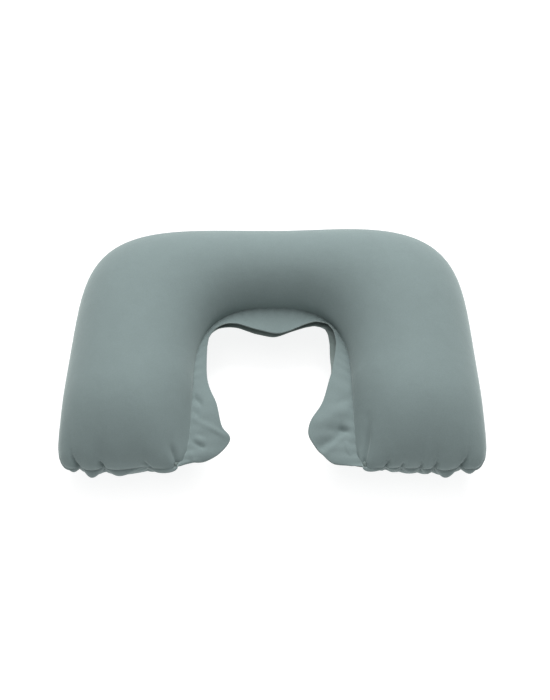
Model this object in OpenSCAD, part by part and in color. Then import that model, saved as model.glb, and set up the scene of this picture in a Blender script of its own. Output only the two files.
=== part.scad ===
// Inflatable U-shaped camp pillow: two flocked film panels welded round an
// air chamber, a loose two-ply flange round the neck opening, and a pop-out
// inflation valve under the back tube.
// Frame: +Z up, the pillow lies on z = 0, X across both arms, the neck
// opening towards -Y, origin in the middle of the rest face.

/* [Pillow] */
// Width across both arms, weld fin included
pillow_w = 384; // [350:2:420]
// Depth from the arm ends to the back, weld fins included
pillow_d = 258; // [246:2:270]
// Height of the weld plane above the rest face
seam_z = 46; // [42:1:48]
// How far the back tube rises above the weld plane
back_rise = 47; // [45:1:52]
// How far the arms rise above the weld plane
arm_rise = 48; // [45:1:52]
// Extra rise at the two back corners
corner_swell = 6; // [0:1:10]
// Squareness of the two back corners in plan
corner_power = 4.4; // [3:0.1:6]
// Length over which an arm thins down to its end
end_taper = 72; // [50:2:80]
// Fullness of that thinning
end_power = 2.2; // [1.8:0.1:2.6]
// Radius of an arm's outer front corner
outer_round = 10; // [4:1:14]
// Radius of an arm's inner front corner
inner_round = 12; // [4:1:14]

/* [Neck opening] */
// Width between the inner weld lines of the two arms
neck_w = 148; // [136:2:156]
// Width of the back tube between its weld lines
back_tube_w = 82; // [78:1:88]
// Depth of the rounded part of the chamber, from the back weld line
arch_d = 164; // [150:2:176]
// Squareness of the inner arch in plan
neck_power = 2.6; // [2.2:0.1:3]

/* [Film and welds] */
// Film with its flock
film_t = 0.8; // [0.5:0.1:1.2]
// Thickness of the fused weld band
weld_t = 0.6; // [0.4:0.1:1]
// Width of the weld band on the outer edge and the arm ends
fin_w = 2; // [1.5:0.5:4]
// Width of the weld band along the neck
neck_weld_w = 3; // [2:0.5:5]

/* [Neck flange] */
// Loose film beside the arms
arm_flange = 14; // [10:1:20]
// Loose film at the middle of the back
back_flange = 28; // [22:1:34]
// Loose film at the arm ends
tongue_w = 38; // [30:1:40]

/* [Valve] */
// Slope of the valve's axis below the horizontal
valve_tilt = 30; // [28:1:32]
// Hole in the film
film_hole_r = 11; // [10.8:0.1:11.5]
// Welded base disc
base_r = 15.5; // [15:0.5:17]
// Stem
stem_r = 4.2; // [4:0.1:4.3]
// Air way through the stem
bore_r = 2.6; // [2.5:0.1:2.8]
// Length of the stem
stem_l = 11.5; // [11:0.1:12.5]
// Cap of the plug
cap_r = 4.2; // [4:0.1:4.3]

/* [Hidden] */
$fn = 64;

// Weld lines: the arms run straight from end_y to arch_y, the rest is an arch
half_w = pillow_w / 2 - fin_w;
back_y = pillow_d / 2 - fin_w;
end_y = -pillow_d / 2 + fin_w;
arch_y = back_y - arch_d;
arm_l = arch_y - end_y;
neck_half = neck_w / 2;
neck_depth = arch_d - back_tube_w;

// Mesh density of the panels
arm_steps = 12;
arch_steps = 60;
dome_steps = 22;
end_crowding = 1.8;

// Flange width against the distance from the arm's end
tongue_outline = [[0, tongue_w * 0.2], [5, tongue_w * 0.52], [12, tongue_w * 0.74], [22, tongue_w * 0.95],
                  [32, tongue_w], [48, tongue_w * 0.88], [64, tongue_w * 0.68], [90, arm_flange]];

function superellipse_r(a, w, d, n) =
    1 / pow(pow(abs(cos(a)) / w, n) + pow(abs(sin(a)) / d, n), 1 / n);

// A station across the chamber:
// [inner weld point, outer weld point, outward direction, end fullness, rise, flange width]
function end_fullness(q) = q >= end_taper ? 1 : pow(1 - pow(1 - q / end_taper, end_power), 1 / end_power);
function corner_cut(q, r) = q >= r ? 0 : r - sqrt(r * r - pow(r - max(q, 0), 2));
function arm_station(side, q) = let (
        y = end_y + q,
        inner_cut = corner_cut(q, inner_round))
    [[side * (neck_half + inner_cut), y], [side * (half_w - corner_cut(q, outer_round)), y], [side, 0],
     q <= 0 ? 0 : end_fullness(q), arm_rise, lookup(max(q, 0), tongue_outline) + inner_cut];
function arch_station(a) = let (
        c = [cos(a), sin(a)],
        centre = [0, arch_y],
        corner = pow(sin(2 * min(a, 180 - a)), 2),
        base_rise = arm_rise + (back_rise - arm_rise) * pow(c[1], 2))
    [centre + c * superellipse_r(a, neck_half, neck_depth, neck_power),
     centre + c * superellipse_r(a, half_w, arch_d, corner_power),
     c, 1, base_rise + corner_swell * corner,
     arm_flange + (back_flange - arm_flange) * pow(c[1], 3)];

arm_q = [for (k = [0:arm_steps - 1]) arm_l * pow(k / arm_steps, end_crowding)];
stations = concat(
    [arm_station(1, -fin_w)],
    [for (q = arm_q) arm_station(1, q)],
    [for (k = [0:arch_steps]) arch_station(180 * k / arch_steps)],
    [for (k = [arm_steps - 1:-1:0]) arm_station(-1, arm_q[k])],
    [arm_station(-1, -fin_w)]);
rows = len(stations);
cols = dome_steps + 3;

// Point j of a section, [x, y, height above the weld face]; skin is film_t on
// the outside of the film and 0 on its inside
function section_point(s, j, skin) = let (
        mid = (s[0] + s[1]) / 2,
        half = norm(s[1] - s[0]) / 2,
        a = 180 * (j - 1) / dome_steps,
        across = j == 0 ? half + fin_w
               : j == cols - 1 ? -half - s[5]
               : (half - film_t + skin) * cos(a),
        rise = j == 0 || j == cols - 1 ? 0 : s[3] * s[4] * sin(a),
        p = mid + s[2] * across)
    [p[0], p[1], skin + rise];

// The valve's place: a flat pad in the film below the outer weld line
back_mid_y = back_y - back_tube_w / 2;
pad_sink = 1.5;
pad_flat_r = 20;
pad_blend_r = 34;
pad_n = [0, cos(valve_tilt), -sin(valve_tilt)];
pad_c = [0, back_mid_y + back_tube_w / 2 * cos(valve_tilt),
         seam_z - weld_t / 2 - film_t - back_rise * sin(valve_tilt)] - pad_n * pad_sink;
function smooth(t) = let (u = min(1, max(0, t))) u * u * (3 - 2 * u);
function pressed_flat(p, depth) = let (
        off = (p - pad_c) * pad_n,
        r = norm(p - pad_c - pad_n * off),
        keep = off < -pad_flat_r ? 1 : smooth((r - pad_flat_r) / (pad_blend_r - pad_flat_r)))
    p - pad_n * ((off + depth) * (1 - keep));

function top_point(s, j, skin) = let (p = section_point(s, j, skin))
    [p[0], p[1], seam_z + weld_t / 2 + p[2]];
function bottom_point(s, j, skin) = let (
        p = section_point(s, j, skin),
        floor_z = film_t - skin,
        hung = [p[0], p[1], seam_z - weld_t / 2 - p[2]],
        q = j <= 1 || j == cols - 1 ? hung : pressed_flat(hung, film_t - skin))
    [q[0], q[1], max(floor_z, q[2])];

// Two layers of rows x cols points closed along their four edges
function quad(a, b, c, d) = [[a, b, c], [a, c, d]];
function at(layer, i, j) = (layer * rows + i) * cols + j;
sheet_faces = [
    for (i = [0:rows - 2]) for (j = [0:cols - 2])
        each quad(at(0, i, j), at(0, i + 1, j), at(0, i + 1, j + 1), at(0, i, j + 1)),
    for (i = [0:rows - 2]) for (j = [0:cols - 2])
        each quad(at(1, i, j), at(1, i, j + 1), at(1, i + 1, j + 1), at(1, i + 1, j)),
    for (i = [0:rows - 2]) each quad(at(0, i, 0), at(1, i, 0), at(1, i + 1, 0), at(0, i + 1, 0)),
    for (i = [0:rows - 2])
        each quad(at(0, i, cols - 1), at(0, i + 1, cols - 1), at(1, i + 1, cols - 1), at(1, i, cols - 1)),
    for (j = [0:cols - 2]) each quad(at(0, 0, j), at(0, 0, j + 1), at(1, 0, j + 1), at(1, 0, j)),
    for (j = [0:cols - 2])
        each quad(at(0, rows - 1, j), at(1, rows - 1, j), at(1, rows - 1, j + 1), at(0, rows - 1, j + 1))];
function turned(faces) = [for (f = faces) [f[2], f[1], f[0]]];

// Valve frame: z runs out of the film, z = 0 on the film's outer face
module at_valve() {
    translate(pad_c) rotate([-(90 + valve_tilt), 0, 0]) children();
}
base_t = 1;
skirt_t = 0.8;
skirt_r = 9.6;
mouth_z = -1.5;
stem_end_z = mouth_z - stem_l;
collar_r = 5.4;
collar_t = 2.2;
seat_gap = 0.1;
flap_t = 0.5;
flap_r = 3.8;
flap_hinge_x = 4.4;
stopper_l = 3.5;
stopper_root = 0.5;
strap_w = 2.6;
strap_t = 0.8;
strap_x = -5.4;
tab_z = -0.6;
lug_z = -5.1;
through = 10;

module top_panel() {
    color([0.56, 0.62, 0.61])
    polyhedron([for (skin = [film_t, 0]) for (s = stations) for (j = [0:cols - 1]) top_point(s, j, skin)],
               turned(sheet_faces));
}

module bottom_panel() {
    color([0.50, 0.57, 0.56])
    difference() {
        polyhedron([for (skin = [film_t, 0]) for (s = stations) for (j = [0:cols - 1])
                    bottom_point(s, j, skin)], sheet_faces);
        at_valve() translate([0, 0, -through / 2]) cylinder(h = through, r = film_hole_r);
    }
}

// Plan of the chamber, grown outwards by fin and into the neck by lip
module chamber_plan(fin, lip) {
    polygon(concat(
        [for (s = stations) s[1] + s[2] * fin + [0, s[3] == 0 ? min(fin, fin_w) - fin : 0]],
        [for (i = [rows - 1:-1:0]) stations[i][0] - stations[i][2] * lip]));
}

module perimeter_weld() {
    inner = [for (i = [1:rows - 2]) stations[i]];
    color([0.45, 0.51, 0.50])
    translate([0, 0, seam_z - weld_t / 2]) linear_extrude(weld_t) difference() {
        chamber_plan(fin_w, neck_weld_w);
        polygon(concat([for (s = inner) s[1]], [for (i = [len(inner) - 1:-1:0]) inner[i][0]]));
    }
}

module valve_base() {
    color([0.60, 0.65, 0.64])
    at_valve() translate([0, 0, -film_t - base_t]) difference() {
        cylinder(h = base_t, r = base_r);
        translate([0, 0, -base_t]) cylinder(h = 3 * base_t, r = skirt_r + skirt_t);
    }
}

module valve_diaphragm() {
    top_z = -film_t - base_t;
    foot_z = stem_end_z + seat_gap;
    foot_r = stem_r + 0.4;
    color([0.68, 0.73, 0.72])
    at_valve() rotate_extrude() polygon([
        [skirt_r, top_z], [skirt_r + 4, top_z], [skirt_r + 4, top_z - skirt_t], [skirt_r + 0.6, top_z - skirt_t],
        [foot_r + skirt_t, foot_z], [foot_r, foot_z]]);
}

module valve_stem() {
    color([0.68, 0.73, 0.72])
    at_valve() difference() {
        union() {
            translate([0, 0, stem_end_z]) cylinder(h = stem_l, r = stem_r);
            translate([0, 0, stem_end_z - collar_t]) cylinder(h = collar_t, r = collar_r);
            translate([strap_x, -strap_w / 2, lug_z - strap_t])
                cube([-strap_x - stem_r + 1, strap_w, strap_t]);
        }
        translate([0, 0, stem_end_z - collar_t - 1]) cylinder(h = stem_l + collar_t + 2, r = bore_r);
    }
}

module valve_check_flap() {
    flap_z = stem_end_z - collar_t - seat_gap - flap_t;
    color([0.75, 0.79, 0.78])
    at_valve() translate([0, 0, flap_z]) {
        cylinder(h = flap_t, r = flap_r);
        translate([0, -strap_w / 2, 0]) cube([flap_hinge_x, strap_w, flap_t]);
    }
}

module valve_plug() {
    cap_z = mouth_z + seat_gap;
    color([0.68, 0.73, 0.72])
    at_valve() {
        translate([0, 0, cap_z]) cylinder(h = -cap_z, r = cap_r);
        translate([0, 0, cap_z - stopper_l])
            cylinder(h = stopper_l + stopper_root, r1 = bore_r - 0.9, r2 = bore_r - 0.1);
        translate([strap_x, -strap_w / 2, tab_z - strap_t]) cube([-strap_x - cap_r + 1, strap_w, strap_t]);
    }
}

module valve_plug_strap() {
    loop_r = (tab_z - lug_z + strap_t) / 2;
    color([0.68, 0.73, 0.72])
    at_valve() translate([strap_x, strap_w / 2, tab_z - loop_r]) rotate([90, 0, 0])
        linear_extrude(strap_w) intersection() {
            difference() {
                circle(r = loop_r);
                circle(r = loop_r - strap_t);
            }
            translate([-2 * loop_r, -loop_r]) square(2 * loop_r);
        }
}

top_panel();
bottom_panel();
perimeter_weld();
valve_base();
valve_diaphragm();
valve_stem();
valve_check_flap();
valve_plug();
valve_plug_strap();
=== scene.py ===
"""Looks of the inflated U-shaped camp pillow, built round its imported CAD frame.

The film is laid out as rows across the chamber, from the left arm's end round
the back to the right arm's end. A cloth simulation blows the chamber up against
its weld lines, and the loose flange, welds and valve are built onto the result.
"""
import math

import bmesh
import bpy
import numpy as np
from mathutils import Matrix, Vector


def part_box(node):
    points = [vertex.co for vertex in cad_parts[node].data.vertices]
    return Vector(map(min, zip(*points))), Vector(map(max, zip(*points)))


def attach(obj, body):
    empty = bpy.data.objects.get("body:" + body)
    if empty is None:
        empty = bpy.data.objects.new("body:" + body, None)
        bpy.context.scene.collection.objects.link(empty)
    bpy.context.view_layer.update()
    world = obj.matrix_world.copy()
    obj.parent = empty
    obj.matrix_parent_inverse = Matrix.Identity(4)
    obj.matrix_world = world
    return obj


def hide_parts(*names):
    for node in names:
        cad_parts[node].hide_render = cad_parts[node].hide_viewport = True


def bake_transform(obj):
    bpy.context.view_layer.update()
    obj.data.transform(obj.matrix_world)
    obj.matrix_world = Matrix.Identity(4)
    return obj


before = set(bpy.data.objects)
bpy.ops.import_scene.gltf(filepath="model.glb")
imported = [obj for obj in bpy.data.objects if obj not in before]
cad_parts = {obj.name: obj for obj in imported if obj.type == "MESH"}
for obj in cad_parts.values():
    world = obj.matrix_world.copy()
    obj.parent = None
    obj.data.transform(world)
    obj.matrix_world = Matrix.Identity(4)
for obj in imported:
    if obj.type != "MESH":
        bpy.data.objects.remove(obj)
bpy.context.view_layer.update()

MM = 0.001

# ---------------------------------------------------------------- sizes from the frame
weld_low, weld_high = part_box("perimeter_weld")
FIN = 2 * MM
SEAM_Z = 46 * MM
HALF_W = weld_high.x - FIN - 1 * MM
BACK_Y = weld_high.y - FIN
END_Y = weld_low.y + FIN + 7.5 * MM
FILM = 0.8 * MM

# plan of the two weld lines: the neck's arch, the back's corners and the arms
NECK_HALF = 74 * MM
ARCH_Y = BACK_Y - 164 * MM
NECK_DEPTH = BACK_Y - 82 * MM - ARCH_Y
NECK_POWER = 2.6
CORNER_POWER = 4.8
BACK_TAPER = 0.018
ARM_FLARE = 0.6 * MM
INNER_FLARE = {-1: 10 * MM, 1: 6.5 * MM}
INNER_FLARE_REACH = 10 * MM
OUTER_ROUND = 8.5 * MM

# rise of the chamber above and below its weld plane
BACK_RISE = 45.2 * MM
ARM_RISE = 46.7 * MM
CORNER_SWELL = 7 * MM
RIGHT_SWELL = 3 * MM
END_TAPER = 66 * MM
PAST_THE_ENDS = 4 * END_TAPER
END_POWER = 2.2
END_DROP = 8 * MM
END_DROP_REACH = 40 * MM
INNER_EASE = 1.5

# scallops along each arm's end: from and to (distances from the middle), depth, where the
# deepest point lies between them (0 to 1) and how pointed it is
SCALLOPS = {
    -1: [(83, 111, 6, 0.45, 0.5), (111, 147.5, 9, 0.68, 0.6), (147.5, 169.5, 10.5, 0.5, 1),
         (169.5, 186, 6, 0.5, 0.5)],
    1: [(77, 100, 4.6, 0.4, 0.5), (100, 113.5, 3.6, 0.5, 0.6), (113.5, 130.5, 5.6, 0.5, 0.6),
        (130.5, 142.5, 7.2, 0.45, 0.8), (142.5, 165, 10.5, 0.42, 1), (165, 185, 6.8, 0.5, 0.5)],
}
# the share of that depth that the weld line itself follows, and how far up the film it fades
WELD_SHARE = 0.4
SCALLOP_REACH = 9 * MM
END_FIN = 1.2 * MM
SEAM_LINE = 0.9 * MM
FIN_TILT = 0.5

# each end is a little narrower than the arm behind it
END_NARROWER, END_NARROW_REACH = 3.2 * MM, 12 * MM

# how many millimetres the end wall stands out over its weld line, how soon above it, and
# where it fades up the wall and behind it
ROLL_DEPTH, ROLL_START, ROLL_FADE = 1.0, 2.4, 22
WALL_FADE = 14 * MM

# creases that run up each end wall from its notches, in millimetres: distance from the
# middle at the weld, how far they lean outwards, height, depth and half width
END_CREASES = {
    -1: [(84, 5, 14, 3.6, 1.7), (106, 6, 9, 2.6, 1.6), (147.5, 3.5, 12, 3.6, 1.7),
         (169.5, 5.5, 15, 4.6, 1.8)],
    1: [(81, 4, 18, 4, 1.8), (100, 2.5, 11, 3.6, 1.7), (113.5, 2, 9, 2.8, 1.5), (130.5, 1, 9, 2.6, 1.5),
        (142.5, 2, 11, 3.2, 1.6), (165, 5.5, 15, 4.6, 1.8)],
}
CREASE_ZONE = 40 * MM
# a crease keeps its depth up to this share of its height, then fades over that share
CREASE_FULL, CREASE_FADE = 0.7, 0.35
# the raised lip beside a crease: its share of the depth, and its place in half widths
LIP_HEIGHT, LIP_PLACE = 0.12, 2.4

# mesh of the chamber and its flange
ARM_ROWS, ARCH_ROWS, COLS = ((44, 150, 64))
FLANGE_COLS = 20
ROW_CROWDING = 2.2
# round the arch, rows are spaced evenly along a path this share of the way to the inner weld
INNER_SHARE = 0.4

# gathers where the film meets the outer weld line, and finer ones at the inner
GATHER_PITCH = 13 * MM
GATHER_DEPTH = 1.1 * MM
INNER_GATHER_PITCH = 11 * MM
INNER_GATHER_DEPTH = 0.35 * MM
# the share of a row's columns that each kind reaches over
GATHER_REACH, INNER_GATHER_REACH = 0.14, 0.1

# simulation, run ten times life size so that the solver's stiffness suits it
SIM_SCALE = 10
SIM_FRAMES = 14
SIM_PRESSURE = 5

# where the valve's pad lies on the underside's back slope, facing out and down
PAD_CENTRE = np.array([0, 120.208, 22.15]) * MM
PAD_NORMAL = np.array([0, math.sqrt(3) / 2, -0.5])
PAD_FLAT_R = 20 * MM
PAD_BLEND_R = 34 * MM
HOLE_R = 11 * MM
HOLE_STEPS = 48
HOLE_RINGS = (0, 0.7 * MM, 2.2 * MM)

# the flange's free edge: distance along the weld from the middle of the back (left is
# negative), x, y and height of the upper ply's edge, then how much further in and how
# much lower the lower ply's edge lies
FREE_EDGE = [
    (-219, -82, -113, 34, -1, 2), (-214, -70, -113, 32.5, -1, 2), (-209, -60, -112.5, 32, -1, 2),
    (-203, -49, -107, 33, -1, 2), (-196, -40, -98.5, 35, -1, 2), (-190, -35.5, -91, 38, -1, 2.2),
    (-183, -45, -85.5, 42, -1, 1.5), (-172, -47.7, -74.5, 44.5, -1, 1.5), (-158, -50.5, -60, 46, -1, 1.5),
    (-145, -57, -47.5, 44, -1, 1.5), (-130, -61, -34, 43, -1, 1.5), (-115, -62, -17, 43, -1, 1.5),
    (-100, -62, 2, 44.5, -1.5, 1.5), (-86, -60.5, 10, 47, -2, 1), (-72, -55.5, 17, 50, -2, 1),
    (-62, -49, 21, 51.5, 0, 3), (-52, -42, 23.5, 51.5, 0, 5.5), (-40, -33, 24, 50, 0, 6.5),
    (-20, -17, 20.2, 46.5, 0, 8), (0, 0, 17, 44, 0, 7), (8, 6, 16.4, 44, 0, 4), (20, 16, 18, 46, 0, 1.2),
    (40, 31, 23, 50, 0.5, 3.5), (52, 41, 25, 52.5, 1, 5.5), (66, 52, 22.5, 53, 2.5, 6.5),
    (80, 58, 14.5, 52, 5.5, 8.5), (95, 60, 4, 49, 6.5, 9), (108, 59, -7, 47.5, 5.5, 8),
    (122, 57, -18, 47, 3, 5), (130, 55.5, -26, 46.5, 0, 2.5), (140, 52, -38, 46, -1, 1.5),
    (150, 48.4, -52, 46, -1, 1.5), (162, 44.5, -64, 46, -1, 1.5), (172, 36.5, -74.5, 45.5, -1, 1.5),
    (180, 32, -84, 44.5, -1, 2), (188, 31.5, -93, 43, -1, 2), (195, 36.6, -100, 40, -1, 2),
    (203, 45, -109.5, 37, -1, 2), (209, 53, -116, 35, -1, 2), (215, 64, -117, 35, -1, 2),
    (220, 80, -113.5, 35, -1, 2),
]

# folds pressed into the flange's tongues: x, y to x, y, height and half width
TONGUE_FOLDS = [
    (-73, -54, -66, -60, -2.6, 2.8), (-72, -70, -68, -71.5, -1.4, 2.4),
    (-70, -77, -42, -91, 1.3, 1.6), (-66, -76, -46, -85, -0.5, 6), (-64, -92, -48, -98, -0.6, 7),
    (-73, -97, -62, -101.5, -2.2, 1.6), (-68, -94, -63, -95.5, 1.6, 2), (-73, -108, -70, -113, 1.2, 2),
    (42, -80, 64, -68, 2.2, 7), (69, -87, 61, -84.5, -3, 1.6), (62, -84.5, 53, -86, -1.4, 4),
    (64, -89, 44, -101, -3, 4.8), (66, -90, 46, -108, 1.4, 2), (66, -99, 69, -108, 1.2, 1.4),
    (54, -40, 70, -50, 0.8, 4), (70, -57, 62, -59, -1.4, 3),
]


def superellipse_r(a, w, d, n):
    """Radius at angle a of a superellipse w by d metres with power n."""
    return 1 / ((abs(math.cos(a)) / w) ** n + (abs(math.sin(a)) / d) ** n) ** (1 / n)


def corner_cut(q, r):
    """How far a corner of radius r stands in from the side, q metres from the end."""
    return r - math.sqrt(r * r - (r - max(q, 0)) ** 2) if q < r else 0.0


def end_fullness(q):
    """Share of the full rise that the chamber has q metres from the arm's end."""
    return 1.0 if q >= END_TAPER else (1 - (1 - q / END_TAPER) ** END_POWER) ** (1 / END_POWER)


class Station:
    """One row across the chamber: its weld points and how far the film rises between them.

    q is the distance from the arm's end and out_dir points from the inner weld to the outer.
    """

    def __init__(self, inner, outer, out_dir, rise, q, side):
        self.inner, self.outer, self.out_dir = np.array(inner), np.array(outer), np.array(out_dir)
        self.rise, self.q, self.side = rise, q, side


def arm_station(side, q):
    y = END_Y + q
    flare = ARM_FLARE * math.sin(math.pi * q / (ARCH_Y - END_Y)) ** 0.8
    inner = (side * (NECK_HALF + INNER_FLARE[side] * math.exp(-q / INNER_FLARE_REACH)), y)
    narrower = END_NARROWER * math.exp(-(q / END_NARROW_REACH) ** 2)
    outer = (side * (HALF_W + flare - narrower - corner_cut(q, OUTER_ROUND)), y)
    return Station(inner, outer, (side, 0.0), ARM_RISE * end_fullness(q), q, side)


def arch_station(a):
    c = np.array((math.cos(a), math.sin(a)))
    centre = np.array((0, ARCH_Y))
    swell = (CORNER_SWELL + RIGHT_SWELL * np.sign(c[0])) * math.sin(2 * a) ** 2
    rise = ARM_RISE + (BACK_RISE - ARM_RISE) * c[1] ** 2 + swell
    inner = centre + c * superellipse_r(a, NECK_HALF, NECK_DEPTH, NECK_POWER)
    outer = centre + c * superellipse_r(a, HALF_W, BACK_Y - ARCH_Y, CORNER_POWER)
    outer[0] *= 1 - BACK_TAPER * (outer[1] - ARCH_Y) / (BACK_Y - ARCH_Y)
    return Station(inner, outer, c, rise, PAST_THE_ENDS, -1 if a > math.pi / 2 else 1)


def lay_out_stations():
    """Rows from the left arm's end to the right arm's: crowded at the ends, even round the arch."""
    arm_length = ARCH_Y - END_Y
    arm_q = [arm_length * (k / ARM_ROWS) ** ROW_CROWDING for k in range(ARM_ROWS)]
    angles = np.linspace(math.pi, 0, 2001)
    radius = np.array([INNER_SHARE * superellipse_r(a, NECK_HALF, NECK_DEPTH, NECK_POWER)
                       + (1 - INNER_SHARE) * superellipse_r(a, HALF_W, BACK_Y - ARCH_Y, CORNER_POWER)
                       for a in angles])
    steps = np.hypot(np.diff(radius * np.cos(angles)), np.diff(radius * np.sin(angles)))
    along = np.concatenate([[0], np.cumsum(steps)])
    spaced = np.interp(np.linspace(0, along[-1], ARCH_ROWS + 1), along, angles)
    return ([arm_station(-1, q) for q in arm_q] + [arch_station(a) for a in spaced]
            + [arm_station(1, q) for q in reversed(arm_q)])


def path_length(points):
    steps = np.linalg.norm(np.diff(points, axis=0), axis=1)
    return np.concatenate([[0], np.cumsum(steps)])


def scallop(side, x):
    """Depth of the scalloped end, and the place within its scallop, 0 to 1, at x metres from the middle."""
    depth, place = np.zeros_like(x), np.zeros_like(x)
    for start, end, full, peak, pointed in SCALLOPS[side]:
        u = np.clip((x / MM - start) / (end - start), 0, 1)
        depth += full * MM * np.sin(np.pi * u ** (math.log(0.5) / math.log(peak))) ** pointed
        place += np.where(u < 1, u, 0)
    return depth, place


def chamber_start(stations):
    """[layer, row, column, xyz] of the slack chamber: layer 0 is the top film, column 0 the inner weld."""
    grid = np.zeros((2, len(stations), COLS + 1, 3))
    for i, s in enumerate(stations):
        half = np.linalg.norm(s.outer - s.inner) / 2
        mid = (s.inner + s.outer) / 2
        a = np.linspace(math.pi, 0, 721)
        along = path_length(np.stack([half * np.cos(a), s.rise * np.sin(a)], 1))
        a = np.interp(np.linspace(0, along[-1], COLS + 1), along, a)
        near = max(0.0, 1 - s.q / (ARCH_Y - END_Y))
        eased = 1 + INNER_EASE * near * near * (3 - 2 * near) * np.clip(-np.cos(a), 0, 1) ** 2
        across, rise = half * np.cos(a), s.rise * np.sin(a) ** eased
        drop = END_DROP * math.exp(-(s.q / END_DROP_REACH) ** 2)
        share = WELD_SHARE * math.exp(-(s.q / SCALLOP_REACH) ** 1.3)
        push = scallop(s.side, np.abs(mid[0]) + across)[0] * share
        for layer, up in ((0, 1), (1, -1)):
            grid[layer, i, :, 0] = mid[0] + s.out_dir[0] * across
            grid[layer, i, :, 1] = mid[1] + s.out_dir[1] * across - push
            grid[layer, i, :, 2] = up * rise + SEAM_Z - drop
    return grid


def add_gathers(grid, stations):
    """Small waves across the weld lines, deepest round the two back corners."""
    along = path_length(grid[0, :, -1, :2])
    unevenness = 1.3 * np.sin(along / (31 * MM)) + 0.9 * np.sin(along / (17 * MM) + 1)
    phase = 2 * np.pi * along / GATHER_PITCH + unevenness
    headings = [math.atan2(s.out_dir[1], abs(s.out_dir[0])) for s in stations]
    swing = np.array([abs(math.sin(2 * heading)) ** 1.5 for heading in headings])
    across = np.linspace(0, 1, COLS + 1)
    fade = np.clip((across - 1 + GATHER_REACH) / GATHER_REACH, 0, 1) ** 2
    inward = np.clip((INNER_GATHER_REACH - across) / INNER_GATHER_REACH, 0, 1) ** 2
    outer_wave = GATHER_DEPTH * (0.12 + swing) * np.sin(phase)
    inner_along = path_length(grid[0, :, 0, :2])
    inner_phase = 2 * np.pi * inner_along / INNER_GATHER_PITCH + np.sin(inner_along / (13 * MM))
    inner_wave = INNER_GATHER_DEPTH * np.sin(inner_phase)
    for layer in (0, 1):
        grid[layer, :, :, 2] += outer_wave[:, None] * fade + inner_wave[:, None] * inward


def inflate(grid):
    """Blows the chamber up with Blender's Cloth, its weld lines held, and returns the same grid."""
    rows, cols = grid.shape[1:3]
    index = np.arange(rows * cols).reshape(rows, cols)
    edge = np.zeros((rows, cols), bool)
    edge[0], edge[-1], edge[:, 0], edge[:, -1] = True, True, True, True
    under = np.where(edge, index, index + rows * cols)
    verts = np.concatenate([grid[0].reshape(-1, 3), grid[1].reshape(-1, 3)]) * SIM_SCALE
    faces = []
    for i in range(rows - 1):
        for j in range(cols - 1):
            ring = [(i, j), (i, j + 1), (i + 1, j + 1), (i + 1, j)]
            faces.append([int(index[r]) for r in reversed(ring)])
            faces.append([int(under[r]) for r in ring])
    mesh = bpy.data.meshes.new("inflating")
    mesh.from_pydata(verts.tolist(), [], faces)
    mesh.update()
    obj = bpy.data.objects.new("inflating", mesh)
    bpy.context.scene.collection.objects.link(obj)
    held = obj.vertex_groups.new(name="held")
    held.add([int(v) for v in index[edge]], 1.0, "REPLACE")
    cloth = obj.modifiers.new("cloth", "CLOTH")
    settings = cloth.settings
    settings.quality = 6
    settings.mass = 0.3
    settings.tension_stiffness = 40
    settings.compression_stiffness = 20
    settings.shear_stiffness = 10
    settings.bending_stiffness = 0.3
    settings.tension_damping = settings.compression_damping = settings.shear_damping = 5
    settings.use_pressure = True
    settings.uniform_pressure_force = SIM_PRESSURE
    settings.effector_weights.gravity = 0
    settings.vertex_group_mass = "held"
    cloth.collision_settings.use_collision = False
    cloth.collision_settings.use_self_collision = False
    cloth.point_cache.frame_start = 1
    cloth.point_cache.frame_end = SIM_FRAMES
    scene = bpy.context.scene
    scene.frame_start, scene.frame_end = 1, SIM_FRAMES
    for f in range(1, SIM_FRAMES + 1):
        scene.frame_set(f)
    done = obj.evaluated_get(bpy.context.evaluated_depsgraph_get())
    co = np.array([v.co for v in done.data.vertices]) / SIM_SCALE
    scene.frame_set(1)
    bpy.data.objects.remove(obj)
    return np.stack([co[index], co[under]])


def settle(grid):
    """Rests the underside on the ground and presses the valve's pad flat."""
    soft, weld_margin = 2.5 * MM, 9 * MM
    above = grid[..., 2] - FILM
    grid[..., 2] = FILM + (above + np.sqrt(above ** 2 + soft ** 2)) / 2
    away = grid[1] - (PAD_CENTRE - PAD_NORMAL * FILM)
    height = away @ PAD_NORMAL
    radius = np.linalg.norm(away - height[..., None] * PAD_NORMAL, axis=-1)
    u = np.clip((PAD_BLEND_R - radius) / (PAD_BLEND_R - PAD_FLAT_R), 0, 1)
    clear_of_weld = np.clip((SEAM_Z - grid[1, ..., 2]) / weld_margin, 0, 1)
    press = u * u * (3 - 2 * u) * clear_of_weld * (np.abs(height) < PAD_BLEND_R)
    grid[1] -= (height * press)[..., None] * PAD_NORMAL


def fold_height(x, y, folds):
    """Height of ridges and valleys that run along short lines in plan and fade at their ends."""
    total = np.zeros_like(x)
    for x0, y0, x1, y1, height, width in folds:
        ax, ay, dx, dy = x0 * MM, y0 * MM, (x1 - x0) * MM, (y1 - y0) * MM
        t = np.clip(((x - ax) * dx + (y - ay) * dy) / (dx * dx + dy * dy), 0, 1)
        gap = np.hypot(x - ax - t * dx, y - ay - t * dy)
        total += height * MM * np.exp(-(gap / (width * MM)) ** 2)
    return total


def grid_normals(sheet):
    """Unit normals of a [row, column, xyz] sheet, pointing up where it lies level."""
    normal = np.cross(np.gradient(sheet, axis=0), np.gradient(sheet, axis=1))
    return normal / np.maximum(np.linalg.norm(normal, axis=-1), 1e-12)[..., None]


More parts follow.
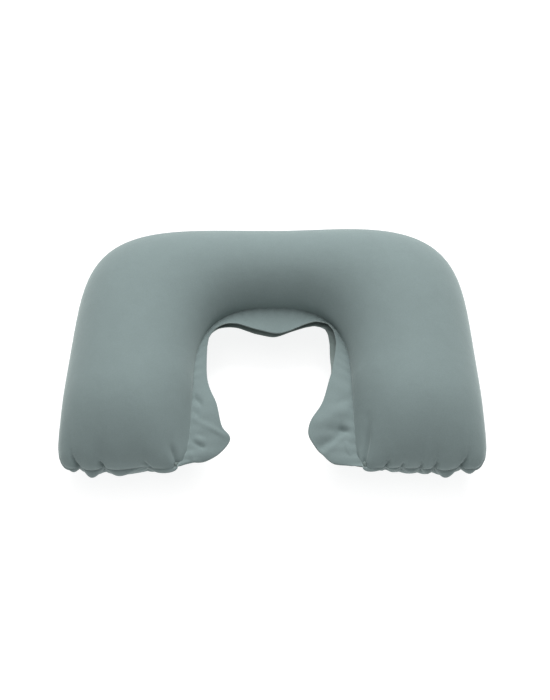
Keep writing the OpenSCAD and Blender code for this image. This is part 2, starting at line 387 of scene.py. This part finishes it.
def crease_ends(grid):
    """Presses short creases with a slightly raised lip into each arm's end wall, and rolls the wall out."""
    for sheet, inwards in ((grid[0], -1), (grid[1], 1)):
        normals = grid_normals(sheet)
        from_weld = np.abs(sheet[..., 2] - SEAM_Z + END_DROP) / MM
        on_wall = np.exp(-(np.maximum(sheet[..., 1] - END_Y, 0) / WALL_FADE) ** 2)
        out = (1 - np.exp(-(from_weld / ROLL_START) ** 2)) * np.exp(-(from_weld / ROLL_FADE) ** 2)
        move = -ROLL_DEPTH * MM * out * on_wall
        for side in (-1, 1):
            near_end = (sheet[..., 1] < END_Y + CREASE_ZONE) & (sheet[..., 0] * side > 0)
            for x, lean, height, depth, width in END_CREASES[side]:
                t = np.clip(from_weld / height, 0, 1)
                gap = np.abs(sheet[..., 0] * side / MM - x - lean * t) / width
                beyond = np.maximum(from_weld - CREASE_FULL * height, 0)
                fade = np.exp(-beyond / (CREASE_FADE * height)) * near_end
                lip = LIP_HEIGHT * np.exp(-(gap - LIP_PLACE) ** 2)
                move += depth * MM * fade * (np.exp(-gap ** 2) - lip)
        move[:, 0] = move[:, -1] = move[0] = move[-1] = 0
        sheet += normals * (inwards * move)[..., None]


def smooth_rows(values, passes):
    """Evens out a row of values in place, its two ends held."""
    for _ in range(passes):
        values[1:-1] = (values[:-2] + 2 * values[1:-1] + values[2:]) / 4
    return values


def flange(seam):
    """[layer, row, column, xyz] of the flange's two plies, from its free edge to the weld."""
    along = path_length(seam[:, :2])
    along = along - np.interp(0, seam[:, 0], along)
    table = np.array(FREE_EDGE) * MM
    edge = np.stack([np.interp(along, table[:, 0], table[:, k]) for k in range(1, 6)], 1)
    edge = smooth_rows(edge, 4)
    plies = np.zeros((2, len(seam), FLANGE_COLS + 1, 3))
    t = 1 - np.linspace(0, 1, FLANGE_COLS + 1) ** 0.9
    for layer in (0, 1):
        reach = edge[:, 3] * layer
        inward = edge[:, :2] - seam[:, :2]
        inward /= np.maximum(np.linalg.norm(inward, axis=1), 1e-6)[:, None]
        tip = edge[:, :2] + inward * reach[:, None]
        for axis in (0, 1):
            plies[layer, ..., axis] = seam[:, axis, None] * (1 - t) + tip[:, axis, None] * t
        lift = (edge[:, 2] - seam[:, 2])[:, None] * t ** 1.4
        droop = layer * (edge[:, 4][:, None] * t ** 1.6 + 0.2 * MM * np.minimum(1, t * 4))
        fold = fold_height(plies[layer, ..., 0], plies[layer, ..., 1], TONGUE_FOLDS)
        fold *= np.minimum(1, t * 5) * (0.8 if layer else 1)
        plies[layer, ..., 2] = seam[:, 2, None] + lift - droop + fold
    return plies


# ---------------------------------------------------------------- mesh building
def new_object(name, verts, faces, materials):
    mesh = bpy.data.meshes.new(name)
    mesh.from_pydata([tuple(float(c) for c in v) for v in verts], [], faces)
    mesh.update()
    for m in materials:
        mesh.materials.append(m)
    mesh.polygons.foreach_set("use_smooth", [True] * len(mesh.polygons))
    obj = bpy.data.objects.new(name, mesh)
    bpy.context.scene.collection.objects.link(obj)
    return obj


def grid_faces(rows, cols, flipped):
    faces = []
    for i in range(rows - 1):
        for j in range(cols - 1):
            ring = [i * cols + j, i * cols + j + 1, (i + 1) * cols + j + 1, (i + 1) * cols + j]
            faces.append(ring if flipped else ring[::-1])
    return faces


def apply_modifiers(obj):
    done = obj.evaluated_get(bpy.context.evaluated_depsgraph_get())
    mesh = bpy.data.meshes.new_from_object(done)
    obj.modifiers.clear()
    obj.data = mesh


def thicken(obj, thickness):
    """One subdivision, then the film's thickness outwards, with the bare inner face's own material."""
    obj.modifiers.new("subdivision", "SUBSURF").levels = 1
    solid = obj.modifiers.new("film", "SOLIDIFY")
    solid.thickness = thickness
    solid.offset = 1
    solid.material_offset = 1
    solid.material_offset_rim = 1
    apply_modifiers(obj)


def film_panel(name, layer, plies, grid, materials):
    """The upper or lower film: its flange ply and its half of the chamber, in one mesh."""
    sheet = np.concatenate([plies[layer][:, :-1], grid[layer]], axis=1)
    rows, cols = sheet.shape[:2]
    return new_object(name, sheet.reshape(-1, 3), grid_faces(rows, cols, layer == 1), materials)


def cut_valve_hole(obj):
    """Cuts the valve's round hole in the flat pad and fills out to the film with clean rings."""
    bm = bmesh.new()
    bm.from_mesh(obj.data)
    centre, normal = Vector(PAD_CENTRE - PAD_NORMAL * FILM), Vector(PAD_NORMAL)

    def radius(p):
        away = p - centre
        return (away - normal * away.dot(normal)).length

    def near(p):
        return abs((p - centre).dot(normal)) < 5 * MM

    middles = [(f, f.calc_center_median()) for f in bm.faces]
    gone = [f for f, p in middles if near(p) and radius(p) < HOLE_R + 5 * MM]
    bmesh.ops.delete(bm, geom=gone, context="FACES")
    rough = [e for e in bm.edges
             if e.is_boundary and near(e.verts[0].co) and radius(e.verts[0].co) < PAD_BLEND_R]
    side = normal.orthogonal().normalized()
    other = normal.cross(side)
    angles = np.linspace(0, 2 * math.pi, HOLE_STEPS, endpoint=False)
    spokes = [side * math.cos(a) + other * math.sin(a) for a in angles]
    rings = [[bm.verts.new(centre + spoke * (HOLE_R + wider)) for spoke in spokes] for wider in HOLE_RINGS]
    for inner, outer in zip(rings, rings[1:]):
        for k in range(HOLE_STEPS):
            bm.faces.new((inner[k - 1], inner[k], outer[k], outer[k - 1]))
    edge = [bm.edges.get((rings[-1][k - 1], rings[-1][k])) for k in range(HOLE_STEPS)]
    bmesh.ops.triangle_fill(bm, edges=edge + rough, normal=normal, use_beauty=True)
    bmesh.ops.recalc_face_normals(bm, faces=bm.faces)
    sample = min(bm.faces, key=lambda f: (f.calc_center_median() - centre).length)
    if sample.normal.dot(normal) < 0:
        bmesh.ops.reverse_faces(bm, faces=bm.faces)
    for f in bm.faces:
        f.smooth = True
    bm.to_mesh(obj.data)
    bm.free()


def end_fin(points, side):
    """Width and downward tilt of the fin along one arm's end, gathered into its scallops."""
    depth, place = scallop(side, points[:, 0] * side)
    from_left = place if side > 0 else 1 - place
    tilt = 0.5 + 0.7 * np.exp(-(from_left / 0.25) ** 2) + 0.2 * from_left
    return END_FIN + (1 - WELD_SHARE) * depth, tilt


def weld_strip(grid, materials):
    """The fused band round the whole chamber: a narrow fin outside, a pressed line beside the flange."""
    top = grid[0]
    rows = len(top)
    loop = np.concatenate([top[:, 0], top[-1, 1:-1], top[::-1, -1], top[0, -2:0:-1]])
    count = len(loop)
    right, left = slice(rows, rows + COLS - 1), slice(2 * rows + COLS - 1, count)
    inner, width, tilt = np.zeros(count), np.full(count, FIN), np.full(count, FIN_TILT)
    inner[:rows], width[:rows], tilt[:rows] = 1, SEAM_LINE, 0
    width[right], tilt[right] = end_fin(loop[right], 1)
    width[left], tilt[left] = end_fin(loop[left], -1)
    tangent = (np.roll(loop, -1, axis=0) - np.roll(loop, 1, axis=0))[:, :2]
    outward = np.stack([tangent[:, 1], -tangent[:, 0]], 1)
    outward /= np.maximum(np.linalg.norm(outward, axis=1), 1e-9)[:, None]
    outward[right] = outward[left] = (0, -1)
    for values in [outward] * 4 + [inner, width, tilt] * 2:
        values[:] = (np.roll(values, 1, axis=0) + 2 * values + np.roll(values, -1, axis=0)) / 4
    outward /= np.linalg.norm(outward, axis=1)[:, None]
    half_t = (0.5 + 0.37 * inner) * MM
    near_edge = -(0.8 - 0.4 * inner) * MM
    almost_flat = 1e-3
    bend = 2 * tilt + almost_flat
    section = [(0, -0.6), (0.12, -1), (0.4, -1), (0.66, -1), (0.9, -1), (1, -0.5),
               (1, 0.5), (0.9, 1), (0.66, 1), (0.4, 1), (0.12, 1), (0, 0.6)]
    verts = []
    for k in range(count):
        for across, up in section:
            length = width[k] - near_edge[k]
            angle = bend[k] * across
            out = near_edge[k] + length * math.sin(angle) / bend[k] + up * half_t[k] * math.sin(angle)
            rise = up * half_t[k] * math.cos(angle) - length * (1 - math.cos(angle)) / bend[k]
            x, y = loop[k, :2] + outward[k] * out
            verts.append((x, y, loop[k, 2] + rise))
    n = len(section)
    faces = [[k * n + i, k * n + (i + 1) % n, (k + 1) % count * n + (i + 1) % n, (k + 1) % count * n + i]
             for k in range(count) for i in range(n)]
    obj = new_object("weld_strip", verts, faces, materials)
    recalc(obj)
    return obj


# ---------------------------------------------------------------- materials
class Shader:
    """A Principled material and short calls for the nodes that feed it."""

    def __init__(self, name, **sockets):
        self.material = bpy.data.materials.new(name)
        self.material.use_nodes = True
        self.tree = self.material.node_tree
        self.bsdf = self.tree.nodes["Principled BSDF"]
        self.coords = self.tree.nodes.new("ShaderNodeTexCoord").outputs["Object"]
        for socket, value in sockets.items():
            self.bsdf.inputs[socket.replace("_", " ")].default_value = value

    def link(self, a, b):
        self.tree.links.new(a, b)

    def noise(self, size, detail=3, distortion=0.0):
        node = self.tree.nodes.new("ShaderNodeTexNoise")
        node.inputs["Scale"].default_value = 1 / size
        node.inputs["Detail"].default_value = detail
        node.inputs["Distortion"].default_value = distortion
        self.link(self.coords, node.inputs["Vector"])
        return node.outputs["Fac"]

    def cells(self, size):
        node = self.tree.nodes.new("ShaderNodeTexVoronoi")
        node.inputs["Scale"].default_value = 1 / size
        self.link(self.coords, node.inputs["Vector"])
        return node.outputs["Distance"]

    def spread(self, value, low, high):
        node = self.tree.nodes.new("ShaderNodeMapRange")
        node.inputs["From Min"].default_value, node.inputs["From Max"].default_value = 0.3, 0.7
        node.inputs["To Min"].default_value, node.inputs["To Max"].default_value = low, high
        self.link(value, node.inputs["Value"])
        return node.outputs["Result"]

    def ramp(self, value, stops):
        node = self.tree.nodes.new("ShaderNodeValToRGB")
        elements = node.color_ramp.elements
        while len(elements) < len(stops):
            elements.new(0.5)
        for element, (place, colour) in zip(elements, stops):
            element.position, element.color = place, (*colour, 1)
        self.link(value, node.inputs["Fac"])
        return node.outputs["Color"]

    def blend_colours(self, a, b, factor, mode="MIX"):
        node = self.tree.nodes.new("ShaderNodeMix")
        node.data_type, node.blend_type = "RGBA", mode
        for value, socket in ((a, node.inputs[6]), (b, node.inputs[7]), (factor, node.inputs[0])):
            if isinstance(value, bpy.types.NodeSocket):
                self.link(value, socket)
            else:
                socket.default_value = value
        return node.outputs[2]

    def bump(self, value, distance, strength=1.0, under=None):
        node = self.tree.nodes.new("ShaderNodeBump")
        node.inputs["Distance"].default_value = distance
        node.inputs["Strength"].default_value = strength
        self.link(value, node.inputs["Height"])
        if under is not None:
            self.link(under, node.inputs["Normal"])
        return node.outputs["Normal"]

    def finish(self, colour=None, roughness=None, normal=None):
        for value, socket in ((colour, "Base Color"), (roughness, "Roughness"), (normal, "Normal")):
            if value is not None:
                self.link(value, self.bsdf.inputs[socket])
        return self.material


def scaled(colour, k):
    return tuple(min(1, c * k) for c in colour)


FLOCK = (0.186, 0.238, 0.237)


def flocked(name, colour, sheen):
    """Short velvety fibre on soft film: fine fuzz, faint brushed patches, pale at grazing angles."""
    s = Shader(name, Sheen_Weight=sheen, Sheen_Roughness=0.42, Sheen_Tint=(0.86, 0.97, 0.95, 1),
               Specular_IOR_Level=0.25)
    patches = s.ramp(s.noise(16 * MM, 4, 0.6), [(0.3, scaled(colour, 0.98)), (0.7, scaled(colour, 1.02))])
    fibres = s.ramp(s.noise(0.7 * MM, 2), [(0.3, (0.80, 0.80, 0.80)), (0.7, (1, 1, 1))])
    base = s.blend_colours(patches, fibres, 0.55, "MULTIPLY")
    ripple = s.bump(s.noise(9 * MM, 2, 0.4), 0.35 * MM, 0.6)
    fuzz = s.bump(s.noise(0.55 * MM, 3), 0.16 * MM, 0.55, ripple)
    return s.finish(base, s.spread(s.noise(1.4 * MM), 0.86, 0.98), fuzz)


def bare_film():
    """The film's unflocked inner face: dark smooth vinyl with a faint calender grain."""
    s = Shader("bare_film", Specular_IOR_Level=0.35)
    base = s.ramp(s.noise(12 * MM, 3), [(0.3, (0.125, 0.160, 0.153)), (0.7, (0.155, 0.195, 0.187))])
    grain = s.bump(s.cells(0.8 * MM), 0.05 * MM, 0.4)
    return s.finish(base, s.spread(s.noise(5 * MM), 0.42, 0.6), grain)


def fused_film():
    """Film pressed flat by the welding bar: smoother and paler, with the bar's small waffle marks."""
    s = Shader("fused_film", Specular_IOR_Level=0.4, Sheen_Weight=0.25, Sheen_Roughness=0.4)
    colour = scaled(FLOCK, 1.05)
    base = s.ramp(s.noise(4 * MM, 3), [(0.3, scaled(colour, 0.93)), (0.7, scaled(colour, 1.06))])
    waffle = s.bump(s.cells(0.9 * MM), 0.09 * MM, 0.5)
    return s.finish(base, s.spread(s.noise(2 * MM), 0.5, 0.68), waffle)


def valve_vinyl():
    """Moulded soft vinyl, milky and a little glossy, with a fine mould texture."""
    s = Shader("valve_vinyl", Subsurface_Weight=0.35, Subsurface_Scale=0.001, Subsurface_Radius=(1, 1, 1),
               Coat_Weight=0.15, Coat_Roughness=0.2, Specular_IOR_Level=0.5)
    colour = (0.46, 0.53, 0.52)
    base = s.ramp(s.noise(3.5 * MM, 4, 0.5), [(0.3, scaled(colour, 0.92)), (0.7, scaled(colour, 1.06))])
    flow = s.bump(s.noise(2.2 * MM, 2, 1.2), 0.05 * MM, 0.5)
    grain = s.bump(s.noise(0.25 * MM, 2), 0.03 * MM, 0.5, flow)
    return s.finish(base, s.spread(s.noise(1.5 * MM), 0.3, 0.45), grain)


def clear_flap():
    """Thin clear vinyl of the check flap, slightly hazy."""
    s = Shader("clear_flap", Transmission_Weight=0.7, IOR=1.5)
    base = s.ramp(s.noise(2 * MM, 3), [(0.3, (0.70, 0.77, 0.76)), (0.7, (0.80, 0.85, 0.84))])
    grain = s.bump(s.noise(0.6 * MM, 2), 0.03 * MM, 0.4)
    return s.finish(base, s.spread(s.noise(1.2 * MM), 0.12, 0.25), grain)


# ---------------------------------------------------------------- the valve's bending pieces
VALVE = Matrix.Translation(Vector(PAD_CENTRE)) @ Matrix.Rotation(math.radians(-120), 4, "X")


def valve_point(x, y, z):
    return VALVE @ Vector((x * MM, y * MM, z * MM))


def recalc(obj):
    bm = bmesh.new()
    bm.from_mesh(obj.data)
    bmesh.ops.recalc_face_normals(bm, faces=bm.faces)
    bm.to_mesh(obj.data)
    bm.free()


def lathe(name, profile, steps, materials):
    """A closed profile of (radius, height) in millimetres turned about the valve's axis."""
    verts = [valve_point(r * math.cos(a), r * math.sin(a), z)
             for a in np.linspace(0, 2 * math.pi, steps, endpoint=False) for r, z in profile]
    n = len(profile)
    faces = [[k * n + i, k * n + (i + 1) % n, (k + 1) % steps * n + (i + 1) % n, (k + 1) % steps * n + i]
             for k in range(steps) for i in range(n)]
    obj = new_object(name, verts, faces, materials)
    recalc(obj)
    return obj


def diaphragm(materials):
    """The thin skirt that lets the stem pop in and out, with a weld ring at its mouth."""
    top, foot, thick = -1.8, -12.9, 0.8
    rim_r, mouth_r, narrowing, ripple, rounding = 13.6, 9.6, 5.0, 0.35, 0.15
    under = top - thick
    outer = [(rim_r, top - rounding), (rim_r - rounding, top),
             (mouth_r + 0.6, top), (mouth_r + 0.1, top - 0.2)]
    down = [(mouth_r - narrowing * t, under + (foot - under) * t - ripple * math.sin(3 * math.pi * t))
            for t in np.linspace(0.05, 1, 14)]
    back = [(r + thick, z) for r, z in reversed(down)]
    rim = [(mouth_r + 1, under), (rim_r - rounding, under), (rim_r, under + rounding)]
    obj = lathe("diaphragm_skirt", outer + down + back + rim, 64, materials)
    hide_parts("valve_diaphragm")
    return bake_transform(obj)


def plug_strap(materials):
    """The moulded strap that ties the plug to the stem, bent in a half loop."""
    thick, wide, x0, tab_z, lug_z = 0.8, 2.6, -5.4, -0.6, -5.1
    loop_r = (tab_z - lug_z + thick) / 2
    centre_z = tab_z - loop_r
    steps, verts = 24, []
    section = [(0.12, -0.5), (0.88, -0.5), (1, -0.42), (1, 0.42),
               (0.88, 0.5), (0.12, 0.5), (0, 0.42), (0, -0.42)]
    for a in np.linspace(math.pi / 2, 3 * math.pi / 2, steps + 1):
        waist = 1 - 0.22 * abs(math.cos(a)) ** 2
        for deep, across in section:
            r = loop_r - thick * deep
            x, y, z = x0 + r * math.cos(a), across * wide * waist, centre_z + r * math.sin(a)
            verts.append(valve_point(x, y, z))
    n = len(section)
    faces = [[k * n + i, k * n + (i + 1) % n, (k + 1) * n + (i + 1) % n, (k + 1) * n + i]
             for k in range(steps) for i in range(n)]
    faces += [list(range(n)), list(range(steps * n, steps * n + n))]
    obj = new_object("plug_strap", verts, faces, materials)
    recalc(obj)
    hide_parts("valve_plug_strap")
    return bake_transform(obj)


def dress_valve(vinyl, clear):
    """The valve's rigid pieces keep their CAD shape, with softened edges and a moulded finish."""
    finishes = {"valve_base": vinyl, "valve_stem": vinyl, "valve_plug": vinyl, "valve_check_flap": clear}
    for node, finish in finishes.items():
        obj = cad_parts[node]
        obj.data.materials.clear()
        obj.data.materials.append(finish)
        obj.modifiers.new("join", "WELD").merge_threshold = 0.001 * MM
        soft = obj.modifiers.new("soft_edges", "BEVEL")
        soft.width, soft.segments, soft.limit_method = 0.12 * MM, 2, "ANGLE"
        soft.angle_limit = math.radians(35)


# ---------------------------------------------------------------- assembly
def build_pillow():
    stations = lay_out_stations()
    grid = chamber_start(stations)
    add_gathers(grid, stations)
    grid = inflate(grid)
    settle(grid)
    crease_ends(grid)
    plies = flange(grid[0][:, 0])
    bare = bare_film()
    fuzzy = flocked("flocked_film", FLOCK, 0.35)
    fuzzy_underside = flocked("flocked_underside", scaled(FLOCK, 0.94), 0.3)
    upper = film_panel("top_film", 0, plies, grid, [fuzzy, bare])
    lower = film_panel("bottom_film", 1, plies, grid, [fuzzy_underside, bare])
    cut_valve_hole(lower)
    strip = weld_strip(grid, [fused_film()])
    for obj, node, slot in ((upper, "top_panel", "flocked_film"),
                            (lower, "bottom_panel", "flocked_film_underside")):
        thicken(obj, FILM)
        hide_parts(node)
        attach(obj, "root")
    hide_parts("perimeter_weld")
    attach(strip, "root")


def build_valve():
    vinyl = valve_vinyl()
    diaphragm([vinyl])
    plug_strap([vinyl])
    dress_valve(vinyl, clear_flap())


# ---------------------------------------------------------------- floor, light and camera
def make_floor():
    half = 40.0
    floor = new_object("floor", [(-half, -half, 0), (half, -half, 0), (half, half, 0), (-half, half, 0)],
                       [[0, 1, 2, 3]], [])
    s = Shader("lit_table", Specular_IOR_Level=0.1, Roughness=0.9, Emission_Color=(1, 1, 1, 1),
               Emission_Strength=0.83)
    base = s.ramp(s.noise(1.5), [(0.3, (0.32, 0.32, 0.32)), (0.7, (0.34, 0.34, 0.34))])
    floor.data.materials.append(s.finish(base))


def area_light(name, place, size, watts, aim):
    light = bpy.data.lights.new(name, "AREA")
    light.shape, light.size, light.energy = "DISK", size, watts
    obj = bpy.data.objects.new(name, light)
    bpy.context.scene.collection.objects.link(obj)
    obj.location = place
    obj.rotation_euler = (Vector(aim) - Vector(place)).to_track_quat("-Z", "Y").to_euler()


def make_light():
    world = bpy.data.worlds.new("studio")
    bpy.context.scene.world = world
    world.use_nodes = True
    backdrop = world.node_tree.nodes["Background"]
    backdrop.inputs["Color"].default_value = (1, 1, 1, 1)
    backdrop.inputs["Strength"].default_value = 0.455
    area_light("softbox_back", (0.12, 0.95, 1.35), 1.3, 29.5, (0, 0, 0.04))
    area_light("softbox_top", (-0.1, 0.1, 1.9), 1.8, 8.8, (0, 0, 0.04))


def make_camera():
    elevation, distance = math.radians(57), 0.85
    aim = Vector((2.4 * MM, -3.25 * MM, 46 * MM))
    back = Vector((0, -math.cos(elevation), math.sin(elevation)))
    camera = bpy.data.cameras.new("camera")
    obj = bpy.data.objects.new("camera", camera)
    bpy.context.scene.collection.objects.link(obj)
    camera.lens = 46.3
    obj.location = aim + back * distance
    obj.rotation_mode = "QUATERNION"
    obj.rotation_quaternion = (-back).to_track_quat("-Z", "Y")
    bpy.context.scene.camera = obj


make_camera()
make_floor()
make_light()
build_pillow()
build_valve()
bpy.context.scene.view_settings.view_transform = "Standard"
